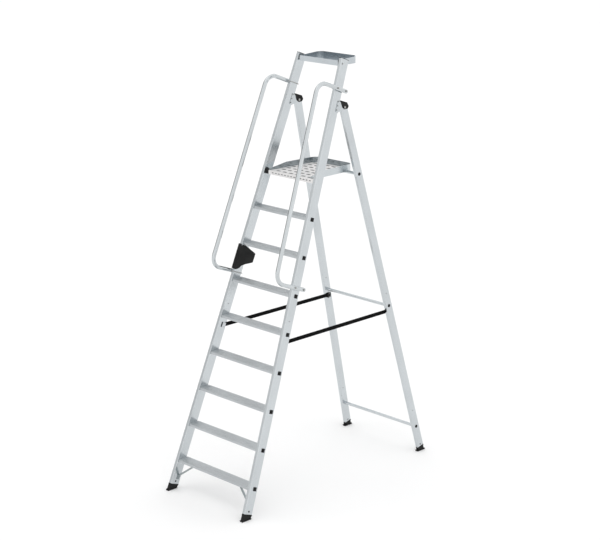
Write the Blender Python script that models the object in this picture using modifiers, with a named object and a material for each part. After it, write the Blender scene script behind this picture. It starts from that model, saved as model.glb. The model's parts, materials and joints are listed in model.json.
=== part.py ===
"""Aluminium platform step ladder.

A leaning front frame with flat treads, a folding platform near the top, a tool
tray, two hand rails and a rear support frame on top hinges.  X is the width,
the climbing side faces -Y and Z is up.  The origin is on the floor, in the
middle of the footprint.  All sizes are in metres.
"""

import math

import bmesh
import bpy
from mathutils import Matrix, Vector

# ---------------------------------------------------------------- driving dimensions
GAP = 0.0003                    # clearance between neighbouring pieces
OBJECT = "platform_step_ladder"

FRONT_LEAN = math.radians(20.55)    # front stiles, measured from the vertical
REAR_LEAN = math.radians(14.89)     # rear legs, measured from the vertical

STILE_DEPTH = 0.070
STILE_WIDTH = 0.023
STILE_WALL = 0.0018
STILE_HALF_SPAN = 0.3719        # outer half width of the front frame at the floor
STILE_TAPER = 0.0555            # narrowing of each side for each metre up the frame
STILE_BOTTOM = 0.054            # heights along the leaning frame
STILE_TOP = 3.033

FIRST_TREAD = 0.205             # height of the lowest tread above the floor
TREAD_PITCH = 0.2355
STEP_COUNT = 8
STEP_DEPTH = 0.082
STEP_LIP = 0.0176
STEP_SHEET = 0.0025
STEP_SETBACK = 0.003            # nose of a tread behind the stiles' front plane
BOSS_RADIUS = 0.0125            # round tube under each tread
BOSS_BORE = 0.0095
BOSS_DROP = 0.0157
BOSS_BACK = 0.0425
BOSS_NECK = 0.006               # half width of the neck between the tube and the plate

BRACE_THICK = 0.003             # flat braces below the lowest tread
BRACE_BACK = (0.038, 0.058)
BRACE_FOOT = (0.086, 0.112)     # ends of the brace's foot, up the stile
BRACE_TAB = (0.196, 0.2255)     # ends of the brace's tab, out from the middle

PIVOT_UP = 2.7385               # hinge axis in the front frame
PIVOT_BACK = 0.120
LEG_DEPTH = 0.057
LEG_WIDTH = 0.022
LEG_TAPER = 0.0562
LEG_LENGTH = 2.5715             # hinge axis down to the cut end of the leg
LEG_HEAD = 0.0275               # radius of the leg's rounded top end
HINGE_BORE = 0.0055
BOLT_RADIUS = 0.005
BOLT_HEAD_RADIUS = 0.0078
BOLT_HEAD_HEIGHT = 0.0045
EAR_RADIUS = 0.016              # hinge cheeks, round the axis
BRACKET_FRONT = 0.046           # hinge cheeks, from the stile's front plane
BRACKET_BELOW = 0.047
BRACKET_ABOVE = 0.024
BRACKET_NECK = 0.004            # the cheeks' overlap with the stile behind their neck
CHEEK_GAP = 0.0005              # hinge cheeks beside the stile and the leg
CHEEK = 0.0025
COVER_BORE = 0.0092
COVER_ROOM = 0.0152             # half width inside the plastic hinge cover
COVER_HALF = 0.0172

TUBE_RADIUS = 0.011
TUBE_BORE = 0.0085
PLUG_LENGTH = 0.012
PLUG_PROUD = 0.0018
LOWER_TUBE_DOWN = 2.4115        # cross tubes, measured down from the hinge axis
UPPER_TUBE_DOWN = 1.4510
PLATFORM_TUBE_DOWN = 0.4720

PLATFORM_LENGTH = 0.430
PLATFORM_FRONT_HALF = 0.191
PLATFORM_REAR_HALF = 0.172
PLATFORM_CORNER = 0.050
PLATFORM_LIP = 0.027
RIM_BELOW = 0.011
RIM_ABOVE = 0.0345
RIM_FRONT = 0.010
RIM_RAMP = 0.150
SHEET = 0.0022
PLATFORM_PIVOT_IN = 0.020       # platform hinge behind the nose and below the deck
PLATFORM_PIVOT_DROP = 0.0115
BLOCK_OUTER = 0.2228            # outer face of the platform's hinge blocks
EAR_LENGTH = 0.040
PIN_RADIUS = 0.004
PIN_REACH = 0.234               # outer end of the platform pins, inside the stiles

RAIL_RADIUS = 0.014
RAIL_WALL = 0.002
RAIL_TOP = 2.8355
RAIL_BOTTOM = 1.529
RAIL_REACH = 0.183              # rail in front of the stiles' front plane
RAIL_TAIL = 0.0925
RAIL_BEND = 0.075

ROD_RADIUS = 0.003              # square U-bolts that hold the rails
STRAP_HEIGHT = 1.076
STRAP_WIDTH = 0.027
STRAP_THICKNESS = 0.002
STRAP_START = 0.022             # front end, behind the stile's front plane
STRAP_END = 0.018               # rear end, behind the middle of the leg
CLAMP_STILE = 0.045             # clamps, from the stile's front plane
CLAMP_LEG = -0.004              # and from the middle of the leg
CLAMP_HALF_DEPTH = 0.014
CLAMP_HALF_HEIGHT = 0.018
CLAMP_THICK = 0.0025

PAD_FOOT = 1.5455               # moulded grip pad: its lower end along the frame
PAD_PROUD = 0.005
PAD_LINING = 0.0005
PAD_UNDER_STEP = 6

TRAY_HALF = 0.173
TRAY_FRONT = 1.060
TRAY_REAR = 1.254
TRAY_FLOOR = 2.787
TRAY_APRON = 0.034
TRAY_BACK = 0.046
TRAY_CORNER = 0.044
TRAY_BOLT_BACK = 0.018
TRAY_BOLT_UP = 3.000
TRAY_BOLT_RADIUS = 0.007

FRONT_SOLE = (-0.004, 0.074)    # front to back, measured from the stiles' floor line
REAR_SOLE = (1.703, 1.7775)
SOLE_THICKNESS = 0.010
SOLE_MARGIN = 0.002             # sole beyond the tube on each side
SOLE_BELOW_LEG = 0.030          # middle of the rear sole below the cut end of the leg
FOOT_COLLAR = 0.010
FOOT_WAIST = 0.004              # narrowing below the collar at the back
FOOT_FRONT_WAIST = 0.001        # and at the front
FOOT_INSERT = 0.030

# ---------------------------------------------------------------- worked-out positions
FOOTPRINT_MIDDLE = (FRONT_SOLE[0] + REAR_SOLE[1]) / 2
ROOT = Matrix.Translation((0, -FOOTPRINT_MIDDLE, 0))
FRONT = ROOT @ Matrix.Rotation(-FRONT_LEAN, 4, "X")
PIVOT = FRONT @ Vector((0, PIVOT_BACK, PIVOT_UP))
REAR = Matrix.Translation(PIVOT) @ Matrix.Rotation(REAR_LEAN, 4, "X")
STILE_SPLAY = math.atan(STILE_TAPER)
LEG_SPLAY = math.atan(LEG_TAPER)
HINGE_HALF_SPAN = STILE_HALF_SPAN - STILE_TAPER * PIVOT_UP - STILE_WIDTH / 2 + LEG_WIDTH / 2
PLATFORM_TOP = FIRST_TREAD + STEP_COUNT * TREAD_PITCH
PLATFORM_NOSE = PLATFORM_TOP * math.tan(FRONT_LEAN) + STEP_SETBACK - FOOTPRINT_MIDDLE
PLATFORM_PIVOT = Vector((0, PLATFORM_NOSE + PLATFORM_PIVOT_IN, PLATFORM_TOP - PLATFORM_PIVOT_DROP))
PLATFORM = Matrix.Translation(PLATFORM_PIVOT)
SIDES = {"left": -1, "right": 1}


def stile_frame(side):
    """Frame of one stile: X towards the right, Y back, Z up along its outer face."""
    shift = Matrix.Translation((side * STILE_HALF_SPAN, 0, 0))
    return FRONT @ shift @ Matrix.Rotation(-side * STILE_SPLAY, 4, "Y")


def leg_frame(side):
    """Frame of one rear leg: its origin is on the hinge axis, at the outer face."""
    shift = Matrix.Translation((side * HINGE_HALF_SPAN, 0, 0))
    return REAR @ shift @ Matrix.Rotation(-side * LEG_SPLAY, 4, "Y")


def up_stile(height):
    """Length along a splayed stile for a height along the frame's middle."""
    return height / math.cos(STILE_SPLAY)


def down_leg(distance):
    """Length along a splayed leg for a distance down the rear frame's middle."""
    return -distance / math.cos(LEG_SPLAY)


def stile_inner_half(y, z):
    """Half the space between the stiles at a point of the ladder."""
    height = (FRONT.inverted() @ Vector((0, y, z))).z
    return STILE_HALF_SPAN - STILE_TAPER * height - STILE_WIDTH / math.cos(STILE_SPLAY)


def leg_inner_half(y, z):
    """Half the space between the rear legs at a point of the ladder."""
    height = (REAR.inverted() @ Vector((0, y, z))).z
    return HINGE_HALF_SPAN - LEG_TAPER * height - LEG_WIDTH / math.cos(LEG_SPLAY)


# ---------------------------------------------------------------- scene and materials
def clear_scene():
    for item in list(bpy.data.objects):
        bpy.data.objects.remove(item, do_unlink=True)


def make_material(name, colour, roughness, metallic):
    material = bpy.data.materials.new(name)
    material.use_nodes = True
    shader = material.node_tree.nodes["Principled BSDF"]
    shader.inputs["Base Color"].default_value = (*colour, 1)
    shader.inputs["Roughness"].default_value = roughness
    shader.inputs["Metallic"].default_value = metallic
    material.diffuse_color = (*colour, 1)
    return material


def make_materials():
    return {
        "aluminium": make_material("aluminium", (0.78, 0.80, 0.81), 0.25, 1.0),
        "tread": make_material("tread", (0.66, 0.68, 0.69), 0.35, 1.0),
        "sheet": make_material("sheet", (0.72, 0.73, 0.74), 0.30, 1.0),
        "steel": make_material("steel", (0.55, 0.55, 0.54), 0.35, 1.0),
        "plastic": make_material("plastic", (0.020, 0.021, 0.021), 0.45, 0.0),
        "rubber": make_material("rubber", (0.012, 0.012, 0.012), 0.80, 0.0),
        "webbing": make_material("webbing", (0.008, 0.008, 0.009), 0.90, 0.0),
    }


def place(name, mesh, frame, material, pivot=None):
    """Put a mesh, given in a frame's own coordinates, into the ladder's collection.

    pivot is the empty that the piece turns with, whose origin is on the joint's axis.
    """
    item = bpy.data.objects.new(name, mesh)
    mesh.materials.clear()
    mesh.materials.append(MATERIALS[material])
    mesh.shade_smooth()
    mesh.set_sharp_from_angle(angle=math.radians(32))
    PARTS.objects.link(item)
    if pivot is None:
        item.matrix_world = frame
    else:
        item.parent = pivot
        item.matrix_local = pivot.matrix_world.inverted() @ frame
    return item


def make_pivot(name, frame):
    empty = bpy.data.objects.new(name, None)
    empty.empty_display_size = 0.1
    PARTS.objects.link(empty)
    empty.matrix_world = frame
    bpy.context.view_layer.update()
    return empty


# ---------------------------------------------------------------- shapes
def bake(item):
    """The evaluated mesh of a temporary object, welded, with its faces pointing out."""
    depsgraph = bpy.context.evaluated_depsgraph_get()
    depsgraph.update()
    mesh = bpy.data.meshes.new_from_object(item.evaluated_get(depsgraph))
    bpy.data.objects.remove(item, do_unlink=True)
    shape = bmesh.new()
    shape.from_mesh(mesh)
    bmesh.ops.remove_doubles(shape, verts=shape.verts, dist=1e-6)
    bmesh.ops.recalc_face_normals(shape, faces=shape.faces)
    shape.to_mesh(mesh)
    shape.free()
    return mesh


def temporary(data):
    item = bpy.data.objects.new("temporary", data)
    bpy.context.scene.collection.objects.link(item)
    return item


def moved(mesh, matrix):
    mesh.transform(matrix)
    return mesh


def combined(base, tool, operation="DIFFERENCE"):
    """Boolean of two meshes that share one frame."""
    target = temporary(base)
    helper = temporary(tool)
    modifier = target.modifiers.new("combined", "BOOLEAN")
    modifier.operation = operation
    modifier.solver = "EXACT"
    modifier.object = helper
    mesh = bake(target)
    bpy.data.objects.remove(helper, do_unlink=True)
    return mesh


def block(low, high, bevel=0.0, segments=2):
    """A box between two corners, with its edges rounded."""
    low = Vector(low)
    high = Vector(high)
    mesh = bpy.data.meshes.new("block")
    shape = bmesh.new()
    bmesh.ops.create_cube(shape, size=1)
    bmesh.ops.scale(shape, vec=high - low, verts=shape.verts)
    bmesh.ops.translate(shape, vec=(low + high) / 2, verts=shape.verts)
    if bevel:
        bmesh.ops.bevel(
            shape, geom=shape.edges[:], offset=bevel, segments=segments, profile=0.5, affect="EDGES"
        )
    shape.to_mesh(mesh)
    shape.free()
    return mesh


def rod(radius, start, end, sides=24):
    """A cylinder between two points."""
    start = Vector(start)
    end = Vector(end)
    mesh = bpy.data.meshes.new("rod")
    shape = bmesh.new()
    bmesh.ops.create_cone(
        shape, cap_ends=True, segments=sides, radius1=radius, radius2=radius, depth=(end - start).length
    )
    shape.to_mesh(mesh)
    shape.free()
    turn = (end - start).to_track_quat("Z", "Y").to_matrix().to_4x4()
    return moved(mesh, Matrix.Translation((start + end) / 2) @ turn)


def cross_drill(frame, side, centre, radius, sides=24, reach=0.5):
    """A drill along the ladder's width, out to reach from its middle, in a part's own frame."""
    to_part = frame.inverted()
    ends = [to_part @ Vector((side * x, centre.y, centre.z)) for x in (0.1, reach)]
    return rod(radius, *ends, sides)


def circle(centre, radius, sides=24):
    step = math.tau / sides
    return [
        (centre[0] + radius * math.cos(step * i), centre[1] + radius * math.sin(step * i))
        for i in range(sides)
    ]


def rounded(corners, radius, sides=4):
    """A closed outline whose corners are arcs; radius may be a list, one for each corner."""
    radii = radius if isinstance(radius, (list, tuple)) else [radius] * len(corners)
    outline = []
    for i, corner in enumerate(corners):
        here = Vector(corner)
        before = (Vector(corners[i - 1]) - here).normalized()
        after = (Vector(corners[(i + 1) % len(corners)]) - here).normalized()
        if radii[i] <= 0:
            outline.append(tuple(here))
            continue
        half = before.angle(after) / 2
        reach = radii[i] / math.tan(half)
        centre = here + (before + after).normalized() * radii[i] / math.sin(half)
        first = here + before * reach - centre
        sweep = first.angle_signed(here + after * reach - centre)
        for k in range(sides + 1):
            arm = first.copy()
            arm.rotate(Matrix.Rotation(-sweep * k / sides, 2))
            outline.append(tuple(centre + arm))
    return outline


def extrusion(outlines, low, high, axis="X"):
    """Flat outlines (the later ones are holes) carried from low to high along an axis.

    Along X the outlines are given in (Y, Z), along Y in (X, Z) and along Z in (X, Y).
    """
    curve = bpy.data.curves.new("outline", "CURVE")
    curve.dimensions = "2D"
    curve.fill_mode = "BOTH"
    curve.extrude = (high - low) / 2
    for outline in outlines:
        spline = curve.splines.new("POLY")
        spline.points.add(len(outline) - 1)
        for point, (a, b) in zip(spline.points, outline):
            point.co = (a, b, 0, 1)
        spline.use_cyclic_u = True
    mesh = bake(temporary(curve))
    middle = (low + high) / 2
    turns = {
        "X": Matrix(((0, 0, 1, middle), (1, 0, 0, 0), (0, 1, 0, 0), (0, 0, 0, 1))),
        "Y": Matrix(((1, 0, 0, 0), (0, 0, -1, middle), (0, 1, 0, 0), (0, 0, 0, 1))),
        "Z": Matrix.Translation((0, 0, middle)),
    }
    return moved(mesh, turns[axis])


def tube(route, radius, resolution=3):
    """A round bar along a list of points."""
    curve = bpy.data.curves.new("route", "CURVE")
    curve.dimensions = "3D"
    curve.bevel_depth = radius
    curve.bevel_resolution = resolution
    curve.use_fill_caps = True
    spline = curve.splines.new("POLY")
    spline.points.add(len(route) - 1)
    for point, place_at in zip(spline.points, route):
        point.co = (*place_at, 1)
    return bake(temporary(curve))


def sheet(faces, thickness, bevel_edges=None, bevel=0.0):
    """A thin shell: faces are lists of points, thickened inwards."""
    mesh = bpy.data.meshes.new("sheet")
    shape = bmesh.new()
    for face in faces:
        shape.faces.new([shape.verts.new(point) for point in face])
    bmesh.ops.remove_doubles(shape, verts=shape.verts, dist=1e-6)
    bmesh.ops.recalc_face_normals(shape, faces=shape.faces)
    if bevel_edges:
        chosen = [edge for edge in shape.edges if bevel_edges(edge)]
        bmesh.ops.bevel(shape, geom=chosen, offset=bevel, segments=3, profile=0.5, affect="EDGES")
    shape.to_mesh(mesh)
    shape.free()
    item = temporary(mesh)
    solid = item.modifiers.new("solid", "SOLIDIFY")
    solid.thickness = thickness
    solid.offset = -1
    solid.use_even_offset = True
    return bake(item)


def arc_route(corners, radius, sides=8):
    """An open route through corners, with an arc at each inner corner, in (Y, Z)."""
    return rounded(corners, [0] + [radius] * (len(corners) - 2) + [0], sides)


# ---------------------------------------------------------------- front frame
def make_stile(side):
    """A rectangular tube, drilled in its inner wall for the platform's pin."""
    inner, outer = sorted((-side * STILE_WIDTH, 0))
    rim = rounded([(inner, 0), (outer, 0), (outer, STILE_DEPTH), (inner, STILE_DEPTH)], 0.0025, 3)
    wall = STILE_WALL
    hollow = [
        (inner + wall, wall),
        (outer - wall, wall),
        (outer - wall, STILE_DEPTH - wall),
        (inner + wall, STILE_DEPTH - wall),
    ]
    stile = extrusion([rim, hollow], up_stile(STILE_BOTTOM), up_stile(STILE_TOP), "Z")
    drill = cross_drill(stile_frame(side), side, PLATFORM_PIVOT, PIN_RADIUS + GAP, reach=PIN_REACH + GAP)
    return combined(stile, drill)


def tube_insert(side, width, depth, low, high):
    """The part of a cap or foot that fits inside a rectangular tube."""
    inner, outer = sorted((-side * width, 0))
    inset = STILE_WALL + GAP
    return block((inner + inset, inset, low), (outer - inset, depth - inset, high))


def make_stile_cap(side):
    top = up_stile(STILE_TOP) + GAP
    inner, outer = sorted((-side * STILE_WIDTH, 0))
    lid = block((inner, 0, top), (outer, STILE_DEPTH, top + 0.003), 0.0012)
    insert = tube_insert(side, STILE_WIDTH, STILE_DEPTH, top - 0.020, top + 0.0015)
    return combined(lid, insert, "UNION")


def step_nose(index):
    """Front top edge of a tread, as (Y, Z)."""
    height = FIRST_TREAD + index * TREAD_PITCH
    return height * math.tan(FRONT_LEAN) + STEP_SETBACK - FOOTPRINT_MIDDLE, height


def make_step(index):
    """An extruded tread: a plate with two lips and a round tube below it."""
    nose, top = step_nose(index)
    back = nose + STEP_DEPTH
    under = top - STEP_SHEET
    bottom = top - STEP_LIP
    centre = (nose + BOSS_BACK, top - BOSS_DROP)
    sides = 20
    start = math.acos(BOSS_NECK / BOSS_RADIUS)
    sweep = math.pi + 2 * start
    boss = [
        (
            centre[0] + BOSS_RADIUS * math.cos(start - sweep * k / sides),
            centre[1] + BOSS_RADIUS * math.sin(start - sweep * k / sides),
        )
        for k in range(sides + 1)
    ]
    outline = rounded([(back, bottom), (back, top), (nose, top), (nose, bottom)], [0, 0.002, 0.003, 0], 3)
    outline += [(nose + STEP_SHEET, bottom), (nose + STEP_SHEET, under)]
    outline += [(centre[0] - BOSS_NECK, under)] + boss[::-1] + [(centre[0] + BOSS_NECK, under)]
    outline += [(back - STEP_SHEET, under), (back - STEP_SHEET, bottom)]
    mesh = extrusion([outline, circle(centre, BOSS_BORE, sides)], -STILE_HALF_SPAN, STILE_HALF_SPAN)
    for vertex in mesh.vertices:
        half = stile_inner_half(vertex.co.y, vertex.co.z) - GAP
        vertex.co.x = math.copysign(half, vertex.co.x)
    return mesh


def make_brace(side):
    """A flat strip from the lowest tread's tube down to the stile, in the frame's plane."""
    top = FIRST_TREAD * math.cos(FRONT_LEAN)
    top += (step_nose(0)[0] + FOOTPRINT_MIDDLE) * math.sin(FRONT_LEAN)
    top -= BOSS_DROP * math.cos(FRONT_LEAN) - BOSS_BACK * math.sin(FRONT_LEAN) + BOSS_RADIUS + GAP
    wall_x = STILE_HALF_SPAN - STILE_WIDTH / math.cos(STILE_SPLAY) - GAP
    foot_low, foot_high = BRACE_FOOT
    tab_start, tab_end = BRACE_TAB
    low_x = wall_x - STILE_TAPER * foot_low - GAP
    high_x = wall_x - STILE_TAPER * foot_high - GAP
    bend = BRACE_THICK / 2
    corners = [
        (tab_start, top),
        (tab_end, top),
        (high_x, foot_high + bend),
        (low_x, foot_low),
        (low_x - BRACE_THICK, foot_low),
        (high_x - BRACE_THICK, foot_high),
        (tab_end - bend, top - BRACE_THICK),
        (tab_start, top - BRACE_THICK),
    ]
    outline = [(side * x, z) for x, z in corners]
    return extrusion([outline], *BRACE_BACK, "Y")


def make_foot(side, width, depth, frame):
    """A moulded foot: an insert in the tube, a flush collar and a waist cut level with the floor.

    The frame's origin is at the cut end of the tube, on its outer face, at the front.
    """
    inner, outer = sorted((-side * width, 0))
    shoulder = FOOT_COLLAR + FOOT_WAIST / 2
    floor = -5 * FOOT_COLLAR
    outline = [
        (0, -GAP),
        (depth, -GAP),
        (depth, -FOOT_COLLAR),
        (depth - FOOT_WAIST, -shoulder),
        (depth - FOOT_WAIST, floor),
        (FOOT_FRONT_WAIST, floor),
        (FOOT_FRONT_WAIST, -shoulder),
        (0, -FOOT_COLLAR),
    ]
    body = extrusion([outline], inner, outer)
    up = frame.to_3x3() @ Vector((0, 0, 1))
    for vertex in body.vertices:
        if vertex.co.z < -2 * FOOT_COLLAR:
            height = (frame @ vertex.co).z - SOLE_THICKNESS - GAP
            vertex.co.z -= height / up.z
    insert = tube_insert(side, width, depth, -FOOT_COLLAR / 2, FOOT_INSERT)
    return combined(body, insert, "UNION")


def make_sole(side, reach, half_outer, width):
    """A rubber pad flat on the floor, a little wider than the tube above it."""
    outer = side * (half_outer + SOLE_MARGIN)
    inner = side * (half_outer - width - SOLE_MARGIN)
    low_x, high_x = sorted((inner, outer))
    low = (low_x, reach[0] - FOOTPRINT_MIDDLE, 0)
    high = (high_x, reach[1] - FOOTPRINT_MIDDLE, SOLE_THICKNESS)
    return block(low, high, 0.002, 2)


def make_rail(side):
    """A bent hollow tube on the stile's outer face, drilled for its U-bolts."""
    x = side * (RAIL_RADIUS + 0.0006)
    corners = [
        (RAIL_TAIL, up_stile(RAIL_TOP)),
        (-RAIL_REACH, up_stile(RAIL_TOP)),
        (-RAIL_REACH, up_stile(RAIL_BOTTOM)),
        (RAIL_TAIL, up_stile(RAIL_BOTTOM)),
    ]
    route = [(x, y, z) for y, z in arc_route(corners, RAIL_BEND)]
    rail = tube(route, RAIL_RADIUS, 4)
    longer = [(x, RAIL_TAIL + 0.004, route[0][2])] + route[1:-1] + [(x, RAIL_TAIL + 0.004, route[-1][2])]
    rail = combined(rail, tube(longer, RAIL_RADIUS - RAIL_WALL, 3))
    for height in (up_stile(RAIL_TOP), up_stile(RAIL_BOTTOM)):
        for back in u_bolt_legs():
            drill = rod(ROD_RADIUS + 0.0005, (x - 0.03, back, height), (x + 0.03, back, height), 12)
            rail = combined(rail, drill)
    return rail


def u_bolt_legs():
    """Positions of a U-bolt's two legs, in front of and behind the stile."""
    return -ROD_RADIUS - 0.0015, STILE_DEPTH + ROD_RADIUS + 0.0015


def make_u_bolt(side, height):
    """A square U-bolt round the stile, with its threaded ends outside the rail."""
    front, back = u_bolt_legs()
    outside = side * (2 * RAIL_RADIUS + 0.0085)
    inside = -side * (STILE_WIDTH + ROD_RADIUS + 0.0015)
    bend = 0.005
    corners = [(outside, front), (inside, front), (inside, back), (outside, back)]
    route = [(x, y, height) for x, y in arc_route(corners, bend, 3)]
    return tube(route, ROD_RADIUS, 2)


def make_grip_pad(side):
    """A moulded pad that wraps the front of a stile, with a fin that reaches back."""
    foot = up_stile(PAD_FOOT)
    profile = [
        (-0.006, 0),
        (0.006, 0),
        (0.033, 0.0145),
        (0.042, 0.0305),
        (0.074, 0.0460),
        (0.139, 0.0695),
        (0.141, 0.1320),
        (0.022, 0.1720),
        (-0.006, 0.1720),
    ]
    corners = [(back, foot + up) for back, up in profile]
    outline = rounded(corners, [0.004, 0.004, 0.010, 0.010, 0.030, 0.008, 0.006, 0.004, 0.003], 3)
    inner, outer = sorted((-side * (STILE_WIDTH + PAD_PROUD), side * PAD_PROUD))
    pad = extrusion([outline], inner, outer)
    inner, outer = sorted((-side * (STILE_WIDTH + PAD_LINING), side * PAD_LINING))
    pad = combined(pad, block((inner, -PAD_LINING, foot - 0.1), (outer, 0.2, foot + 0.3)))
    under = step_nose(PAD_UNDER_STEP)[1] - STEP_LIP - 2 * GAP
    front, rear, top = -0.02, 0.15, foot + 0.5
    cut = []
    for back in (front, rear):
        cut.append((back, up_stile((under + back * math.sin(FRONT_LEAN)) / math.cos(FRONT_LEAN))))
    cut += [(rear, top), (front, top)]
    inner, outer = sorted((-side * (STILE_WIDTH - 0.001), -side * 2 * STILE_WIDTH))
    return combined(pad, extrusion([cut], inner, outer))


def ear_outline(height):
    """Side view of a hinge cheek: a riveted part on the stile and an ear round the axis."""
    arc = [
        (PIVOT_BACK + EAR_RADIUS * math.cos(a), height + EAR_RADIUS * math.sin(a))
        for a in [math.radians(-60 + 20 * k) for k in range(8)]
    ]
    neck = STILE_DEPTH - BRACKET_NECK
    low = height - BRACKET_BELOW
    high = height + BRACKET_ABOVE
    return [(BRACKET_FRONT, low), (neck, low)] + arc + [(neck, high), (BRACKET_FRONT, high)]


def make_hinge_bracket(side):
    """Two cheek plates, either side of the stile, joined by a web behind it."""
    height = up_stile(PIVOT_UP)
    near = CHEEK_GAP
    far = CHEEK_GAP + CHEEK
    outline = ear_outline(height)
    outer_cheek = sorted((side * near, side * far))
    inner_cheek = sorted((-side * (STILE_WIDTH + near), -side * (STILE_WIDTH + far)))
    low, high = sorted((-side * (STILE_WIDTH + far), side * far))
    behind = STILE_DEPTH + GAP
    neck = STILE_DEPTH - BRACKET_NECK
    bottom = height - BRACKET_BELOW
    top = height - BOLT_RADIUS
    web = block((low, behind, bottom), (high, behind + CHEEK, top))
    for low, high in (outer_cheek, inner_cheek):
        web = combined(web, block((low, neck, bottom), (high, behind + CHEEK, top)), "UNION")
    bracket = combined(extrusion([outline], *outer_cheek), web, "UNION")
    bracket = combined(bracket, extrusion([outline], *inner_cheek), "UNION")
    return combined(bracket, cross_drill(stile_frame(side), side, PIVOT, HINGE_BORE))


def make_hinge_cover(side):
    """A plastic hood over the hinge: a roof, a back wall and two cheeks, open below."""
    height = up_stile(PIVOT_UP)
    profile = [
        (-0.0520, 0.0325),
        (0.0120, 0.0350),
        (0.0350, 0.0160),
        (0.0290, -0.0020),
        (0.0040, -0.0135),
        (-0.0190, -0.0070),
    ]
    corners = [(PIVOT_BACK + back, height + up) for back, up in profile]
    outline = rounded(corners, [0.002, 0.010, 0.008, 0.006, 0.008, 0.004], 3)
    cover = extrusion([outline], *cheek_reach(side, COVER_HALF))
    fold = FRONT_LEAN + REAR_LEAN
    room = LEG_DEPTH / 2 + 0.0012
    arc = [
        (room * math.cos(a), room * math.sin(a))
        for a in [math.pi / 2 + (fold - math.pi / 2) * k / 5 for k in range(6)]
    ]
    far = 0.080
    tail = (arc[-1][0] + far * math.sin(fold), arc[-1][1] - far * math.cos(fold))
    front = STILE_DEPTH + 0.0008 - PIVOT_BACK
    clear = [(-far, -far), (-far, far), (front, far), (front, room)] + arc + [tail]
    clear = [(PIVOT_BACK + back, height + up) for back, up in clear]
    cover = combined(cover, extrusion([clear], *cheek_reach(side, COVER_ROOM)))
    return combined(cover, cross_drill(stile_frame(side), side, PIVOT, COVER_BORE))


def cheek_reach(side, half):
    """A range along X, centred on the stile's thickness."""
    middle = -side * STILE_WIDTH / 2
    return middle - half, middle + half


def make_hinge_bolt(side):
    """The hinge bolt: a shank through leg and cheeks with a round head at each end."""
    middle = side * (HINGE_HALF_SPAN - LEG_WIDTH / 2)
    reach = LEG_WIDTH / 2 + 0.0044
    bolt = rod(BOLT_RADIUS, (middle - reach, 0, 0), (middle + reach, 0, 0), 20)
    for end in (-1, 1):
        start = middle + end * (reach - 0.0002)
        head = rod(BOLT_HEAD_RADIUS, (start, 0, 0), (start + end * BOLT_HEAD_HEIGHT, 0, 0), 20)
        bolt = combined(bolt, head, "UNION")
    return bolt


def make_platform_pin(side):
    """The pin of one platform hinge block, fixed in the stile's inner wall."""
    return rod(PIN_RADIUS, (side * 0.203, 0, 0), (side * PIN_REACH, 0, 0), 16)


def make_clamp(side, width, back, height):
    """A small pressed plate that holds a strap against the inner face of a tube."""
    near = width + STRAP_THICKNESS + 0.0032
    low, high = sorted((-side * near, -side * (near + CLAMP_THICK)))
    bottom = (low, back - CLAMP_HALF_DEPTH, height - CLAMP_HALF_HEIGHT)
    top = (high, back + CLAMP_HALF_DEPTH, height + CLAMP_HALF_HEIGHT)
    return block(bottom, top, CLAMP_THICK * 0.4)


def tray_outline(front, rear, front_half, rear_half, corner):
    """Plan of a tray, open at the front: left front, round the back, right front."""
    corners = [(-front_half, front), (-rear_half, rear), (rear_half, rear), (front_half, front)]
    return arc_route(corners, corner, 6)


def make_tool_tray():
    """A shallow tray between the stiles' top ends, higher at the back."""
    front = TRAY_FRONT - FOOTPRINT_MIDDLE
    rear = TRAY_REAR - FOOTPRINT_MIDDLE
    thick = SHEET
    top = TRAY_FLOOR + 0.1
    outside = tray_outline(front, rear, TRAY_HALF, TRAY_HALF, TRAY_CORNER)
    inner_half = TRAY_HALF - thick
    inside = tray_outline(front + thick, rear - thick, inner_half, inner_half, TRAY_CORNER - thick)
    tray = extrusion([outside], TRAY_FLOOR, top, "Z")
    tray = combined(tray, extrusion([inside], TRAY_FLOOR + thick, top + 0.1, "Z"))
    for vertex in tray.vertices:
        if vertex.co.z > top - 0.001:
            share = (vertex.co.y - front) / (rear - front)
            vertex.co.z = TRAY_FLOOR + TRAY_APRON + (TRAY_BACK - TRAY_APRON) * share
    return tray


def make_tray_bolt(side):
    """A bolt from the tray's side through a spacer to the stile's inner face."""
    centre = FRONT @ Vector((0, TRAY_BOLT_BACK, TRAY_BOLT_UP))
    wall = stile_inner_half(centre.y, centre.z)
    ends = ((side * (TRAY_HALF + GAP), 0, 0), (side * (wall - 0.0008), 0, 0))
    spacer = rod(TRAY_BOLT_RADIUS, *ends, 20)
    return moved(spacer, Matrix.Translation((0, centre.y, centre.z)))


# ---------------------------------------------------------------- platform
def platform_plan(inset):
    """Plan of the platform from its hinge axis, drawn in from the outside by inset."""
    front = -PLATFORM_PIVOT_IN + inset
    rear = PLATFORM_LENGTH - PLATFORM_PIVOT_IN - inset
    return tray_outline(
        front, rear, PLATFORM_FRONT_HALF - inset, PLATFORM_REAR_HALF - inset, PLATFORM_CORNER - inset
    )


def make_platform_deck():
    """The deck with its front edge turned down, and the toe board round the other sides."""
    top = PLATFORM_PIVOT_DROP
    plan = platform_plan(SHEET / 2)
    front = -PLATFORM_PIVOT_IN
    plan = [(plan[0][0], front)] + plan[1:-1] + [(plan[-1][0], front)]
    deck = [(x, y, top) for x, y in plan]
    lip = [deck[0], deck[-1], (*plan[-1], top - PLATFORM_LIP), (*plan[0], top - PLATFORM_LIP)]

    def fold(edge):
        return all(abs(v.co.y - front) < 1e-6 and abs(v.co.z - top) < 1e-6 for v in edge.verts)

    deck = sheet([deck, lip], SHEET, bevel_edges=fold, bevel=0.006)
    ear = sheet(make_deck_ear(front, top), SHEET, bevel_edges=fold, bevel=0.006)
    return combined(combined(deck, ear, "UNION"), make_toe_board(), "UNION")


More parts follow.
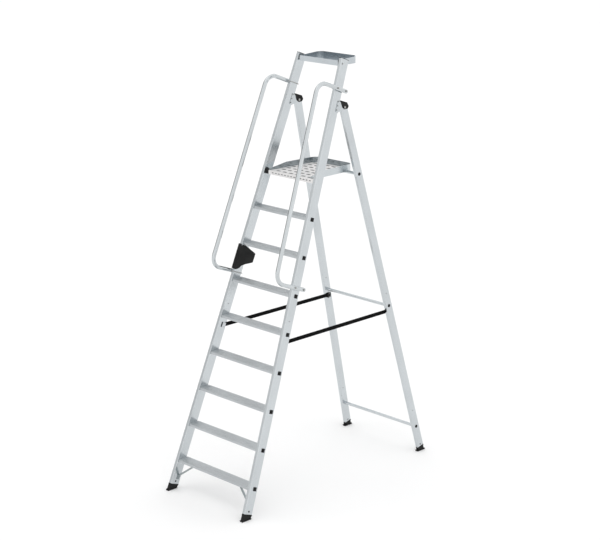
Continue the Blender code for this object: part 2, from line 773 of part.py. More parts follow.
def make_deck_ear(front, top):
    """The deck's right front corner, which runs on over its hinge block to the stile."""
    start = 0.150
    end = BLOCK_OUTER
    rear = front + EAR_LENGTH
    bottom = top - PLATFORM_LIP
    deck = [(start, front, top), (end, front, top), (end, rear, top), (start, rear, top)]
    lip = [deck[0], deck[1], (end, front, bottom), (start, front, bottom)]
    return [deck, lip]


def make_toe_board():
    """A band round the sides and the back of the deck, lower at the front."""
    plan = platform_plan(0)
    start = plan[0][1] + 0.008
    ramp_end = start + RIM_RAMP
    slope = (PLATFORM_FRONT_HALF - PLATFORM_REAR_HALF) / PLATFORM_LENGTH
    half = PLATFORM_FRONT_HALF - slope * (ramp_end + PLATFORM_PIVOT_IN)
    start_half = PLATFORM_FRONT_HALF - slope * (start + PLATFORM_PIVOT_IN)
    plan = [(-start_half, start), (-half, ramp_end)] + plan[1:-1] + [(half, ramp_end), (start_half, start)]
    bottom = PLATFORM_PIVOT_DROP - RIM_BELOW

    def rim(y):
        climb = min(1, max(0, (y - start) / RIM_RAMP))
        return PLATFORM_PIVOT_DROP + RIM_FRONT + (RIM_ABOVE - RIM_FRONT) * climb

    faces = [
        [(x0, y0, bottom), (x1, y1, bottom), (x1, y1, rim(y1)), (x0, y0, rim(y0))]
        for (x0, y0), (x1, y1) in zip(plan, plan[1:])
    ]
    return thick_band(faces, SHEET)


def thick_band(faces, thickness):
    """An upright band, thickened towards the middle of the platform."""
    mesh = bpy.data.meshes.new("band")
    shape = bmesh.new()
    for face in faces:
        shape.faces.new([shape.verts.new(point) for point in face])
    bmesh.ops.remove_doubles(shape, verts=shape.verts, dist=1e-6)
    shape.faces.ensure_lookup_table()
    shape.normal_update()
    middle = Vector((0, PLATFORM_LENGTH / 2, 0))
    first = shape.faces[0]
    if first.normal.dot(first.calc_center_median() - middle) < 0:
        bmesh.ops.reverse_faces(shape, faces=shape.faces)
    shape.to_mesh(mesh)
    shape.free()
    item = temporary(mesh)
    solid = item.modifiers.new("solid", "SOLIDIFY")
    solid.thickness = thickness
    solid.offset = -1
    solid.use_even_offset = True
    return bake(item)


def make_platform_block(side):
    """A plastic hinge block; the left one shows, and the right one is under the deck's ear."""
    inner = PLATFORM_FRONT_HALF + 0.0008
    front = -PLATFORM_PIVOT_IN
    top = PLATFORM_PIVOT_DROP + 0.003
    rear = 0.024
    bottom = PLATFORM_PIVOT_DROP - PLATFORM_LIP
    if side > 0:
        front += SHEET + 2 * GAP
        top = PLATFORM_PIVOT_DROP - SHEET - 2 * GAP
        rear = front + EAR_LENGTH - SHEET
    corners = [(front, bottom), (rear, bottom), (rear, top), (front, top)]
    radius = [0.004, 0.004, 0.004, 0.0055 if side > 0 else 0.009]
    mesh = extrusion([rounded(corners, radius)], *sorted((side * inner, side * BLOCK_OUTER)))
    bore = rod(PIN_RADIUS + GAP, (side * 0.180, 0, 0), (side * 0.25, 0, 0), 16)
    return combined(mesh, bore)


# ---------------------------------------------------------------- rear frame
def make_leg(side):
    """A rectangular tube with a round top end, drilled for the hinge bolt and cross tubes."""
    inner, outer = sorted((-side * LEG_WIDTH, 0))
    half = LEG_DEPTH / 2
    wall = STILE_WALL
    rim = rounded([(inner, -half), (outer, -half), (outer, half), (inner, half)], 0.0025, 3)
    hollow = [
        (inner + wall, -half + wall),
        (outer - wall, -half + wall),
        (outer - wall, half - wall),
        (inner + wall, half - wall),
    ]
    leg = extrusion([rim, hollow], down_leg(LEG_LENGTH), LEG_HEAD + 0.010, "Z")
    arc = [
        (LEG_HEAD * math.cos(a), LEG_HEAD * math.sin(a))
        for a in [math.radians(15 * k) for k in range(13)]
    ]
    trim = [(0.05, 0.07), (0.05, 0)] + arc + [(-0.05, 0), (-0.05, 0.07)]
    leg = combined(leg, extrusion([trim], -0.05, 0.05))
    for down, radius in (
        (0, HINGE_BORE),
        (PLATFORM_TUBE_DOWN, TUBE_RADIUS + GAP),
        (UPPER_TUBE_DOWN, TUBE_RADIUS + GAP),
        (LOWER_TUBE_DOWN, TUBE_RADIUS + GAP),
    ):
        centre = REAR @ Vector((0, 0, -down))
        leg = combined(leg, cross_drill(leg_frame(side), side, centre, radius))
    return leg


def leg_outer_half(down):
    """Half the rear frame's outer width, a distance down from the hinge."""
    return HINGE_HALF_SPAN + LEG_TAPER * down


def make_cross_tube(down):
    """A round tube through both legs, with open ends."""
    reach = leg_outer_half(down) + 0.0005
    return extrusion([circle((0, -down), TUBE_RADIUS), circle((0, -down), TUBE_BORE)], -reach, reach)


def make_tube_plug(side, down):
    reach = leg_outer_half(down)
    start = (side * (reach - PLUG_LENGTH), 0, -down)
    end = (side * (reach + PLUG_PROUD), 0, -down)
    return rod(TUBE_BORE - GAP, start, end, 20)


def make_strap(side):
    """A webbing strap, level, from a stile's inner face to a rear leg's inner face."""
    low = STRAP_HEIGHT - STRAP_WIDTH / 2
    high = STRAP_HEIGHT + STRAP_WIDTH / 2
    stile_front = (FRONT @ Vector((0, 0, STRAP_HEIGHT / math.cos(FRONT_LEAN)))).y
    stile_rear = stile_front + STILE_DEPTH / math.cos(FRONT_LEAN)
    leg_middle = (REAR @ Vector((0, 0, (STRAP_HEIGHT - PIVOT.z) / math.cos(REAR_LEAN)))).y
    start = stile_front + STRAP_START
    end = leg_middle + STRAP_END
    front_wall = min(stile_inner_half(y, z) for y in (start, stile_rear) for z in (low, high))
    leg_front = leg_middle - 0.6 * LEG_DEPTH
    rear_wall = min(leg_inner_half(y, z) for y in (leg_front, end) for z in (low, high))
    mesh = block((0, start, low), (STRAP_THICKNESS, end, high))
    for vertex in mesh.vertices:
        wall = front_wall if vertex.co.y < 0 else rear_wall
        vertex.co.x = side * (wall - 2 * GAP - vertex.co.x)
    if side > 0:
        mesh.flip_normals()
    return mesh


# ---------------------------------------------------------------- assembly
def build_front_frame():
    for index in range(STEP_COUNT):
        place(f"step_{index + 1}", make_step(index), Matrix(), "tread")
    place("tool_tray", make_tool_tray(), Matrix(), "sheet")
    for name, side in SIDES.items():
        frame = stile_frame(side)
        place(f"stile_{name}", make_stile(side), frame, "aluminium")
        place(f"stile_cap_{name}", make_stile_cap(side), frame, "plastic")
        foot_frame = frame @ Matrix.Translation((0, 0, up_stile(STILE_BOTTOM)))
        foot = make_foot(side, STILE_WIDTH, STILE_DEPTH, foot_frame)
        place(f"front_foot_{name}", foot, foot_frame, "plastic")
        sole = make_sole(side, FRONT_SOLE, STILE_HALF_SPAN, STILE_WIDTH)
        place(f"front_sole_{name}", sole, Matrix(), "rubber")
        place(f"brace_{name}", make_brace(side), FRONT, "aluminium")
        place(f"handrail_{name}", make_rail(side), frame, "aluminium")
        for level, height in (("upper", RAIL_TOP), ("lower", RAIL_BOTTOM)):
            place(f"u_bolt_{name}_{level}", make_u_bolt(side, up_stile(height)), frame, "steel")
        place(f"hinge_bracket_{name}", make_hinge_bracket(side), frame, "aluminium")
        place(f"hinge_cover_{name}", make_hinge_cover(side), frame, "plastic")
        place(f"hinge_bolt_{name}", make_hinge_bolt(side), Matrix.Translation(PIVOT), "steel")
        place(f"platform_pin_{name}", make_platform_pin(side), PLATFORM, "steel")
        place(f"tray_bolt_{name}", make_tray_bolt(side), Matrix(), "steel")
        along = (STRAP_HEIGHT + CLAMP_STILE * math.sin(FRONT_LEAN)) / math.cos(FRONT_LEAN)
        clamp = make_clamp(side, STILE_WIDTH, CLAMP_STILE, up_stile(along))
        place(f"strap_clamp_front_{name}", clamp, frame, "plastic")
        place(f"strap_{name}", make_strap(side), Matrix(), "webbing")
    place("grip_pad", make_grip_pad(SIDES["left"]), stile_frame(SIDES["left"]), "plastic")


def build_rear_frame(pivot):
    for name, side in SIDES.items():
        frame = leg_frame(side)
        place(f"rear_leg_{name}", make_leg(side), frame, "aluminium", pivot)
        foot_frame = frame @ Matrix.Translation((0, -LEG_DEPTH / 2, down_leg(LEG_LENGTH)))
        foot = make_foot(side, LEG_WIDTH, LEG_DEPTH, foot_frame)
        place(f"rear_foot_{name}", foot, foot_frame, "plastic", pivot)
        sole = make_sole(side, REAR_SOLE, leg_outer_half(LEG_LENGTH + SOLE_BELOW_LEG), LEG_WIDTH)
        place(f"rear_sole_{name}", sole, Matrix(), "rubber", pivot)
        strap_down = (PIVOT.z - STRAP_HEIGHT) / math.cos(REAR_LEAN)
        clamp = make_clamp(side, LEG_WIDTH, CLAMP_LEG, down_leg(strap_down))
        place(f"strap_clamp_rear_{name}", clamp, frame, "plastic", pivot)
    for level, down in (
        ("lower", LOWER_TUBE_DOWN),
        ("upper", UPPER_TUBE_DOWN),
        ("platform", PLATFORM_TUBE_DOWN),
    ):
        place(f"cross_tube_{level}", make_cross_tube(down), REAR, "aluminium", pivot)
        for name, side in SIDES.items():
            place(f"tube_plug_{level}_{name}", make_tube_plug(side, down), REAR, "plastic", pivot)


def build_platform(pivot):
    place("platform_deck", make_platform_deck(), PLATFORM, "sheet", pivot)
    for name, side in SIDES.items():
        place(f"platform_block_{name}", make_platform_block(side), PLATFORM, "plastic", pivot)


clear_scene()
MATERIALS = make_materials()
PARTS = bpy.data.collections.new(OBJECT)
bpy.context.scene.collection.children.link(PARTS)
build_front_frame()
build_rear_frame(make_pivot("rear_frame_pivot", REAR))
build_platform(make_pivot("platform_pivot", PLATFORM))
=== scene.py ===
"""Looks of the aluminium platform step ladder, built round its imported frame."""

import json
import math

import bmesh
import bpy
from mathutils import Matrix, Vector


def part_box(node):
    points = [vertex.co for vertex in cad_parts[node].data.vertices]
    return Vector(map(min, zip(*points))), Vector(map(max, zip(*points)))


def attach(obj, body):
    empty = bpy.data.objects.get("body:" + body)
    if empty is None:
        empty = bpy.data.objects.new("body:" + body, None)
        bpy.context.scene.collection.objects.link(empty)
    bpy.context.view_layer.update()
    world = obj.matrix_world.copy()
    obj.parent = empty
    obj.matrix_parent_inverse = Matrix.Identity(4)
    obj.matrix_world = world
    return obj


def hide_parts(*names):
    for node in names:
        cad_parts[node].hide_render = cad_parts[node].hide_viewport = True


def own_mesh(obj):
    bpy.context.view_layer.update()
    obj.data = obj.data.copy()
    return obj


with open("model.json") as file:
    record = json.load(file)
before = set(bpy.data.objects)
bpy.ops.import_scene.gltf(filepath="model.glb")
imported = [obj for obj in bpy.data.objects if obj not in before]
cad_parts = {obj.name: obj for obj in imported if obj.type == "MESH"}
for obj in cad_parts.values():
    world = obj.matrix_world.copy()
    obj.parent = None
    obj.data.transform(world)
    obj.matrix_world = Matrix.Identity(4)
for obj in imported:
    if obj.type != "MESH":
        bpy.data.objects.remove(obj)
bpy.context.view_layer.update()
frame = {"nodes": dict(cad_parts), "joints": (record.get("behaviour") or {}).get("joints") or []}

# ---------------------------------------------------------------- the ladder's own geometry
FRONT_LEAN = math.radians(20.55)
REAR_LEAN = math.radians(14.89)
STILE_WIDTH = 0.023
STILE_HALF_SPAN = 0.3719
STILE_TAPER = 0.0555
LEG_WIDTH = 0.022
LEG_TAPER = 0.0562
RAIL_TOP = 2.8355
RAIL_BOTTOM = 1.529
RAIL_DIAMETER = 0.028
SOLE_REACH = 0.004              # front sole in front of the stiles' floor line
U_BOLT_BACK = (-0.0045, 0.0745)

WORLD_LIGHT = 1.13
BAND_LIGHT = 0.30
DARK_SIDE = (-0.966, -0.259, 0.0)       # middle of the studio's soft dark band
BAND_EDGE = 0.74                        # cosines from that middle where the band starts
BAND_CORE = 0.98                        # and where it is darkest

SIDES = {"left": -1, "right": 1}
STEPS = range(1, 9)
NUT = 0.0055
PLUG_PROUD = 0.0055             # tread plugs out from the stiles
DECK_ABOVE_PIVOT = 0.0115
RIB_COUNT = 14                  # ribs along the top of a tread
RIB_PITCH = 0.0052
RIB_WIDTH = 0.0022
RIB_HEIGHT = 0.0008
LIP_RIB_DROPS = (0.0050, 0.0105)        # ribs on a tread's front lip, below its top
LIP_RIB_HEIGHT = 0.0016
PLUG_BACK = 0.045               # tread plugs: middle, behind the stile's front face
PLUG_BELOW_TREAD = 0.0155
SLOT_LENGTH = 0.0400            # raised slots in the platform's deck
SLOT_WIDTH = 0.0240
SLOT_HEIGHT = 0.0010
SLOT_PITCH = 0.0570
ROW_PITCH = 0.0575
ROW_SHIFT = 0.0100
FIRST_ROW = 0.026               # first row of slots, behind the deck's front edge
LIP_SLOT_DROP = 0.0125          # slots on the front lip, below the deck's top
DECK_FRONT_HALF = 0.184
DECK_REAR_HALF = 0.163
DECK_RIGHT_EDGE = 0.216         # the deck's right front corner runs on to here
DECK_CORNER = 0.030
FOLD_DEPTH = 0.007              # the rounded fold at the deck's front edge
EAR_DEPTH = 0.038               # the right front corner, from front to back

BRACKET_RIVETS = (2.7595, 2.7315, 2.7035)           # heights along the stile
BRACKET_RIVET_BACK = 0.0525
PLATE_THICK = 0.0030            # hinge bracket's plates, out from the stile
STILE_RIVETS = ((1.312, 0.033, 0.0036), (3.000, 0.018, 0.0060))    # height, back, radius
FOOT_STUD = (0.073, 0.035)                          # height, back
BRACE_RIVET = (0.097, 0.048)
LEG_RIVETS = (0.3292, 1.2534)                       # heights along the leg from the floor
LEG_STUD = 0.051
TUBE_CAP_RADIUS = 0.0112
STRAP_HALF_THICK = 0.0010
STRAP_SECTIONS = 80
PAD_RIBS = 7
PAD_RIB_START = 1.622           # lowest rib's height along the stile
PAD_RIB_PITCH = 0.0085
PAD_RIB_HEIGHT = 0.0030

CAMERA_AZIMUTH = 44.93
CAMERA_ELEVATION = 15.4875
CAMERA_PLACE = (7.4344, -6.5637, 4.3393)    # y from the stiles' floor line
CAMERA_LENS = 98.39

JOINTS = {joint["name"]: joint for joint in frame["joints"]}
PIVOT = Vector(JOINTS["rear_fold"]["pos_m"])
FRONT = Matrix.Translation((0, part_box("front_sole_left")[0].y + SOLE_REACH, 0))
FRONT = FRONT @ Matrix.Rotation(-FRONT_LEAN, 4, "X")
REAR = Matrix.Translation(PIVOT) @ Matrix.Rotation(REAR_LEAN, 4, "X")
PIVOT_UP = (FRONT.inverted() @ PIVOT).z
HINGE_HALF_SPAN = STILE_HALF_SPAN - STILE_TAPER * PIVOT_UP - STILE_WIDTH / 2 + LEG_WIDTH / 2
STILE_SPLAY = math.atan(STILE_TAPER)
LEG_SPLAY = math.atan(LEG_TAPER)


def stile_frame(side):
    shift = Matrix.Translation((side * STILE_HALF_SPAN, 0, 0))
    return FRONT @ shift @ Matrix.Rotation(-side * STILE_SPLAY, 4, "Y")


def leg_frame(side):
    shift = Matrix.Translation((side * HINGE_HALF_SPAN, 0, 0))
    return REAR @ shift @ Matrix.Rotation(-side * LEG_SPLAY, 4, "Y")


# ---------------------------------------------------------------- materials
class Shader:
    """A small helper that makes and joins the nodes of one material."""

    def __init__(self, name):
        self.material = bpy.data.materials.new(name)
        self.material.use_nodes = True
        self.tree = self.material.node_tree
        self.surface = self.tree.nodes["Principled BSDF"]
        self.place = self.node("ShaderNodeTexCoord").outputs["Object"]

    def node(self, kind, **values):
        made = self.tree.nodes.new(kind)
        for key, value in values.items():
            socket = made.inputs.get(key.replace("_", " "))
            if socket is None:
                setattr(made, key, value)
            else:
                socket.default_value = value
        return made

    def link(self, output, target):
        self.tree.links.new(output, target)

    def stretched(self, scale, turn=(0, 0, 0)):
        """Coordinates scaled along axes that are turned from the ladder's."""
        mapping = self.node("ShaderNodeMapping", vector_type="POINT")
        mapping.inputs["Rotation"].default_value = turn
        mapping.inputs["Scale"].default_value = scale
        self.link(self.place, mapping.inputs["Vector"])
        return mapping.outputs["Vector"]

    def noise(self, place, scale=1.0, detail=3.0):
        made = self.node("ShaderNodeTexNoise", Scale=scale, Detail=detail)
        self.link(place, made.inputs["Vector"])
        return made.outputs["Fac"]

    def ramp(self, value, low, high, start=0.3, end=0.7):
        """Maps a value between two numbers."""
        made = self.node("ShaderNodeMapRange")
        for socket, number in (("From Min", start), ("From Max", end), ("To Min", low), ("To Max", high)):
            made.inputs[socket].default_value = number
        self.link(value, made.inputs["Value"])
        return made.outputs["Result"]

    def mixed(self, factor, first, second):
        made = self.node("ShaderNodeMix", data_type="RGBA")
        for socket in made.inputs:
            if socket.type == "RGBA" and socket.name in "AB":
                socket.default_value = (*(first if socket.name == "A" else second), 1)
        self.link(factor, made.inputs["Factor"])
        return next(output for output in made.outputs if output.type == "RGBA")

    def bump(self, height, strength, distance):
        made = self.node("ShaderNodeBump", Strength=strength, Distance=distance)
        self.link(height, made.inputs["Height"])
        self.link(made.outputs["Normal"], self.surface.inputs["Normal"])

    def colour(self, output):
        self.link(output, self.surface.inputs["Base Color"])

    def roughness(self, output):
        self.link(output, self.surface.inputs["Roughness"])


def metal(name, colour, roughness, grain=(900, 900, 8), turn=(0, 0, 0), metallic=1.0):
    """Satin aluminium with a fine drawn grain and faint cloudy changes of tone."""
    shader = Shader(name)
    shader.surface.inputs["Metallic"].default_value = metallic
    streaks = shader.noise(shader.stretched(grain, turn), 1.0, 4.0)
    clouds = shader.noise(shader.place, 5.0, 2.0)
    darker = tuple(channel * 0.93 for channel in colour)
    shader.colour(shader.mixed(shader.ramp(clouds, 0, 1), colour, darker))
    shader.roughness(shader.ramp(streaks, roughness - 0.05, roughness + 0.07))
    shader.bump(streaks, 0.06, 0.0004)
    return shader.material


def moulding(name, colour, roughness, grit=700, gloss=0.12):
    """Black moulded plastic or rubber with a fine spark-eroded skin."""
    shader = Shader(name)
    skin = shader.noise(shader.place, grit, 3.0)
    clouds = shader.noise(shader.place, 12.0, 2.0)
    paler = tuple(channel * 1.5 + 0.004 for channel in colour)
    shader.colour(shader.mixed(shader.ramp(clouds, 0, 1), colour, paler))
    shader.roughness(shader.ramp(skin, roughness - 0.08, roughness + 0.08))
    shader.surface.inputs["Specular IOR Level"].default_value = gloss
    shader.bump(skin, 0.25, 0.0004)
    return shader.material


def webbing(name):
    """Woven black webbing: fine diagonal ribs with a fuzzy sheen."""
    shader = Shader(name)
    waves = []
    for turn in (math.radians(45), math.radians(-45)):
        wave = shader.node("ShaderNodeTexWave", Scale=1.0, Distortion=0.4, bands_direction="Y")
        shader.link(shader.stretched((1, 380, 380), (turn, 0, 0)), wave.inputs["Vector"])
        waves.append(wave.outputs["Fac"])
    both = shader.node("ShaderNodeMath", operation="MULTIPLY")
    for i, wave in enumerate(waves):
        shader.link(wave, both.inputs[i])
    weave = both.outputs["Value"]
    shader.colour(shader.mixed(weave, (0.003, 0.003, 0.003), (0.012, 0.012, 0.013)))
    shader.surface.inputs["Roughness"].default_value = 0.85
    shader.surface.inputs["Specular IOR Level"].default_value = 0.05
    shader.bump(weave, 0.6, 0.0006)
    return shader.material


ALONG_STILE = (FRONT_LEAN, 0, 0)
ALONG_LEG = (-REAR_LEAN, 0, 0)
ACROSS = (8, 900, 900)
M = {
    "stile": metal("stile_aluminium", (0.605, 0.638, 0.658), 0.20, turn=ALONG_STILE),
    "leg": metal("leg_aluminium", (0.595, 0.628, 0.648), 0.20, turn=ALONG_LEG),
    "rail": metal("rail_aluminium", (0.575, 0.605, 0.62), 0.15, turn=ALONG_STILE),
    "cross": metal("cross_aluminium", (0.60, 0.635, 0.655), 0.22, ACROSS),
    # treads painted darker than the other aluminium: painted shade for their darker tops
    "tread": metal("tread_painted_shade_aluminium", (0.51, 0.535, 0.55), 0.30, ACROSS),
    "sheet": metal("sheet_aluminium", (0.60, 0.64, 0.66), 0.20, (600, 30, 600)),
    # the toe board's inner side: aluminium painted darker as painted shade between the platform's walls
    "toe_board_shade": metal("painted_shade_aluminium", (0.345, 0.385, 0.405), 0.20, (600, 30, 600)),
    "tray": metal("tray_aluminium", (0.55, 0.59, 0.62), 0.20, (600, 30, 600)),
    "deck": metal("deck_aluminium", (0.80, 0.79, 0.785), 0.50, (600, 30, 600), metallic=0.55),
    "steel": metal("zinc_steel", (0.40, 0.40, 0.39), 0.30, (500, 500, 500)),
    "bracket": metal("bracket_aluminium", (0.56, 0.595, 0.615), 0.24, turn=ALONG_STILE),
    # braces painted dark: painted shade for their side that faces the stile
    "brace": metal("brace_painted_shade_aluminium", (0.30, 0.34, 0.35), 0.30, ACROSS),
    "rivet": metal("rivet_aluminium", (0.24, 0.245, 0.24), 0.34, (500, 500, 500)),
    "plastic": moulding("black_plastic", (0.0085, 0.0088, 0.0088), 0.48),
    "rubber": moulding("black_rubber", (0.009, 0.009, 0.009), 0.75, 400),
    # flat dark faces near the top of the deck's slots: painted shadow for the slots' depth
    "slot_shadow": moulding("hole_shadow", (0.075, 0.080, 0.084), 0.80),
    "webbing": webbing("black_webbing"),
}
NODE_MATERIALS = {
    "stile_cap": "plastic",
    "stile": "stile",
    "front_foot": "plastic",
    "rear_foot": "plastic",
    "front_sole": "rubber",
    "rear_sole": "rubber",
    "step": "tread",
    "brace": "brace",
    "handrail": "rail",
    "u_bolt": "steel",
    "grip_pad": "plastic",
    "hinge_bracket": "bracket",
    "hinge_cover": "plastic",
    "hinge_bolt": "steel",
    "platform_pin": "steel",
    "platform_block": "plastic",
    "platform_deck": "sheet",
    "tool_tray": "tray",
    "tray_bolt": "steel",
    "strap_clamp": "plastic",
    "strap_clamp_front": "stile",
    "strap": "webbing",
    "rear_leg": "leg",
    "cross_tube": "cross",
    "tube_plug": "plastic",
}


def dress_nodes():
    """Every carried-over solid gets the material of the longest name that it starts with."""
    for name, node in frame["nodes"].items():
        key = max((key for key in NODE_MATERIALS if name.startswith(key)), key=len)
        node.data.materials.clear()
        node.data.materials.append(M[NODE_MATERIALS[key]])


# ---------------------------------------------------------------- small shapes
def finish_piece(name, shape, material, body, frame_of_piece=None):
    """Turns a bmesh into a shaded piece that rides on a body."""
    bmesh.ops.recalc_face_normals(shape, faces=shape.faces)
    mesh = bpy.data.meshes.new(name)
    shape.to_mesh(mesh)
    shape.free()
    mesh.transform(frame_of_piece or Matrix())
    mesh.materials.append(M[material])
    mesh.shade_smooth()
    mesh.set_sharp_from_angle(angle=math.radians(35))
    piece = bpy.data.objects.new(name, mesh)
    bpy.context.scene.collection.objects.link(piece)
    if body:
        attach(piece, body)
    return piece


def add_box(shape, low, high, bevel=0.0, segments=2):
    made = bmesh.ops.create_cube(shape, size=1)["verts"]
    low = Vector(low)
    high = Vector(high)
    bmesh.ops.scale(shape, vec=high - low, verts=made)
    bmesh.ops.translate(shape, vec=(low + high) / 2, verts=made)
    if bevel:
        edges = list({edge for vertex in made for edge in vertex.link_edges})
        bmesh.ops.bevel(shape, geom=edges, offset=bevel, segments=segments, profile=0.5, affect="EDGES")


def add_lathe(shape, centre, direction, profile, sides=24):
    """A round shape: profile is (radius, height) from its base, along a direction."""
    turn = Vector(direction).to_track_quat("Z", "Y").to_matrix().to_4x4()
    place = Matrix.Translation(centre) @ turn
    rings = []
    for radius, height in profile:
        ring = []
        for k in range(sides):
            angle = math.tau * k / sides
            point = Vector((radius * math.cos(angle), radius * math.sin(angle), height))
            ring.append(shape.verts.new(place @ point))
        rings.append(ring)
    for lower, upper in zip(rings, rings[1:]):
        for k in range(sides):
            shape.faces.new((lower[k], lower[(k + 1) % sides], upper[(k + 1) % sides], upper[k]))
    shape.faces.new(rings[0][::-1])
    shape.faces.new(rings[-1])


def dome(radius, height):
    """Profile of a rivet's head."""
    steps = 5
    angles = [math.pi / 2 * k / steps for k in range(steps + 1)]
    crown = [(radius * math.cos(angle) + 1e-5, height * math.sin(angle) + 0.0002) for angle in angles]
    return [(radius, 0)] + crown


# ---------------------------------------------------------------- treads
def make_tread_ribs(number):
    """Fine ribs along the top of a tread, and two grooves' edges on its front lip."""
    low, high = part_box(f"step_{number}")
    half = high.x - 0.004
    shape = bmesh.new()
    first = low.y + 0.006
    for k in range(RIB_COUNT):
        y = first + RIB_PITCH * k
        add_box(shape, (-half, y, high.z - 0.0004), (half, y + RIB_WIDTH, high.z + RIB_HEIGHT), 0.0005, 1)
    for drop in LIP_RIB_DROPS:
        bottom = (-half, low.y - 0.0006, high.z - drop - LIP_RIB_HEIGHT)
        top = (half, low.y + 0.0004, high.z - drop)
        add_box(shape, bottom, top, 0.0004, 1)
    finish_piece(f"tread_ribs_{number}", shape, "tread", "front_frame")


def make_step_plugs(name, side):
    """Square plugs on the stile's outer face, one at the end of each tread."""
    place = stile_frame(side)
    for number in STEPS:
        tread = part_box(f"step_{number}")[1].z
        along = (tread - PLUG_BELOW_TREAD + PLUG_BACK * math.sin(FRONT_LEAN)) / math.cos(FRONT_LEAN)
        up = along / math.cos(STILE_SPLAY)
        shape = bmesh.new()
        body = (-side * 0.0010, side * PLUG_PROUD, 0.0115, 0.0130, 0.0022, 3)
        boss = (side * (PLUG_PROUD - 0.0004), side * (PLUG_PROUD + 0.0008), 0.0072, 0.0088, 0.0010, 2)
        for inner, outer, half_back, half_up, bevel, segments in (body, boss):
            inner, outer = sorted((inner, outer))
            bottom = (inner, PLUG_BACK - half_back, up - half_up)
            top = (outer, PLUG_BACK + half_back, up + half_up)
            add_box(shape, bottom, top, bevel, segments)
        finish_piece(f"step_plug_{name}_{number}", shape, "plastic", "front_frame", place)


# ---------------------------------------------------------------- platform
def add_crater(craters, slot_shadows, centre, long, short, normal, height):
    """A raised oval rim round a slot, with a flat dark face inside it as painted shadow for the slot's
    depth.
    """
    sides = 18
    rings = []
    for grow, rise in ((1.0, 0.0), (0.95, 0.75), (0.90, 1.0), (0.85, 0.9), (0.82, 0.5)):
        ring = []
        for k in range(sides):
            angle = math.tau * k / sides
            run = (SLOT_LENGTH - SLOT_WIDTH) / 2 * (1 if math.cos(angle) > 0 else -1)
            along = run + SLOT_WIDTH / 2 * grow * math.cos(angle)
            across = SLOT_WIDTH / 2 * grow * math.sin(angle)
            ring.append(craters.verts.new(centre + long * along + short * across + normal * height * rise))
        rings.append(ring)
    for lower, upper in zip(rings, rings[1:]):
        for k in range(sides):
            craters.faces.new((lower[k], lower[(k + 1) % sides], upper[(k + 1) % sides], upper[k]))
    # a flat dark face on the rim's inner ring: painted shadow for the slot
    slot_shadows.faces.new([slot_shadows.verts.new(vertex.co) for vertex in rings[-1]])


def make_deck_pattern():
    """Rows of raised slots over the deck's bright skin and along its folded lip."""
    low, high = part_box("platform_deck")
    deck = JOINTS["platform_fold"]["pos_m"][2] + DECK_ABOVE_PIVOT
    across = Vector((1, 0, 0))
    length = high.y - low.y
    skin = bmesh.new()
    plan = [(-DECK_FRONT_HALF, FOLD_DEPTH), (DECK_RIGHT_EDGE, FOLD_DEPTH)]
    plan += [(DECK_RIGHT_EDGE, EAR_DEPTH), (DECK_FRONT_HALF - 0.001, EAR_DEPTH)]
    corner_start = length - 0.052
    rear = length - 0.008
    plan += [(DECK_REAR_HALF + 0.003, corner_start), (DECK_REAR_HALF - DECK_CORNER, rear)]
    plan += [(DECK_CORNER - DECK_REAR_HALF, rear), (-DECK_REAR_HALF - 0.003, corner_start)]
    plate = skin.faces.new([skin.verts.new((x, low.y + y, deck + 0.0001)) for x, y in plan])
    lifted = bmesh.ops.extrude_face_region(skin, geom=[plate])["geom"]
    raised = [item for item in lifted if isinstance(item, bmesh.types.BMVert)]
    bmesh.ops.translate(skin, vec=(0, 0, 0.0003), verts=raised)
    finish_piece("deck_skin", skin, "deck", "platform")
    craters = bmesh.new()
    slot_shadows = bmesh.new()
    rows = int((length - 0.010) / ROW_PITCH)
    for row in range(rows):
        y = low.y + FIRST_ROW + ROW_PITCH * row
        half = DECK_FRONT_HALF + (DECK_REAR_HALF - DECK_FRONT_HALF) * (y - low.y) / length
        if row == rows - 1:
            half -= DECK_CORNER / 2
        for column in range(-4, 5):
            x = SLOT_PITCH * (column - 0.12) - ROW_SHIFT * row
            reach = DECK_RIGHT_EDGE if row == 0 else half
            if x - SLOT_LENGTH / 2 < -half or x + SLOT_LENGTH / 2 > reach:
                continue
            centre = Vector((x, y, deck + 0.0003))
            add_crater(craters, slot_shadows, centre, across, Vector((0, 1, 0)), Vector((0, 0, 1)), SLOT_HEIGHT)
    for column in range(-8, 10):
        x = SLOT_PITCH / 2 * (column + 0.76)
        if -DECK_FRONT_HALF < x - SLOT_LENGTH / 3 and x + SLOT_LENGTH / 3 < DECK_RIGHT_EDGE:
            centre = Vector((x, low.y - 0.0003, deck - LIP_SLOT_DROP))
            short = Vector((0, 0, 0.28))
            add_crater(craters, slot_shadows, centre, across * 0.46, short, Vector((0, -1, 0)), SLOT_HEIGHT)
    finish_piece("deck_craters", craters, "deck", "platform")
    finish_piece("deck_slot_shadows", slot_shadows, "slot_shadow", "platform")


def make_skin(name, source, chosen, material, lift=0.0001, thickness=0.0002):
    """A thin closed skin that lies on the chosen faces of one of the platform's solids."""
    shape = bmesh.new()
    shape.from_mesh(frame["nodes"][source].data)
    bmesh.ops.delete(shape, geom=[face for face in shape.faces if not chosen(face)], context="FACES")
    bmesh.ops.remove_doubles(shape, verts=shape.verts, dist=1e-6)
    shape.normal_update()
    outward = {vertex.index: vertex.normal.copy() for vertex in shape.verts}
    for vertex in shape.verts:
        vertex.co += outward[vertex.index] * lift
    lifted = bmesh.ops.extrude_face_region(shape, geom=shape.faces[:])["geom"]
    raised = [item for item in lifted if isinstance(item, bmesh.types.BMVert)]
    shape.normal_update()
    for vertex in raised:
        vertex.co += vertex.normal * thickness
    finish_piece(name, shape, material, "platform")


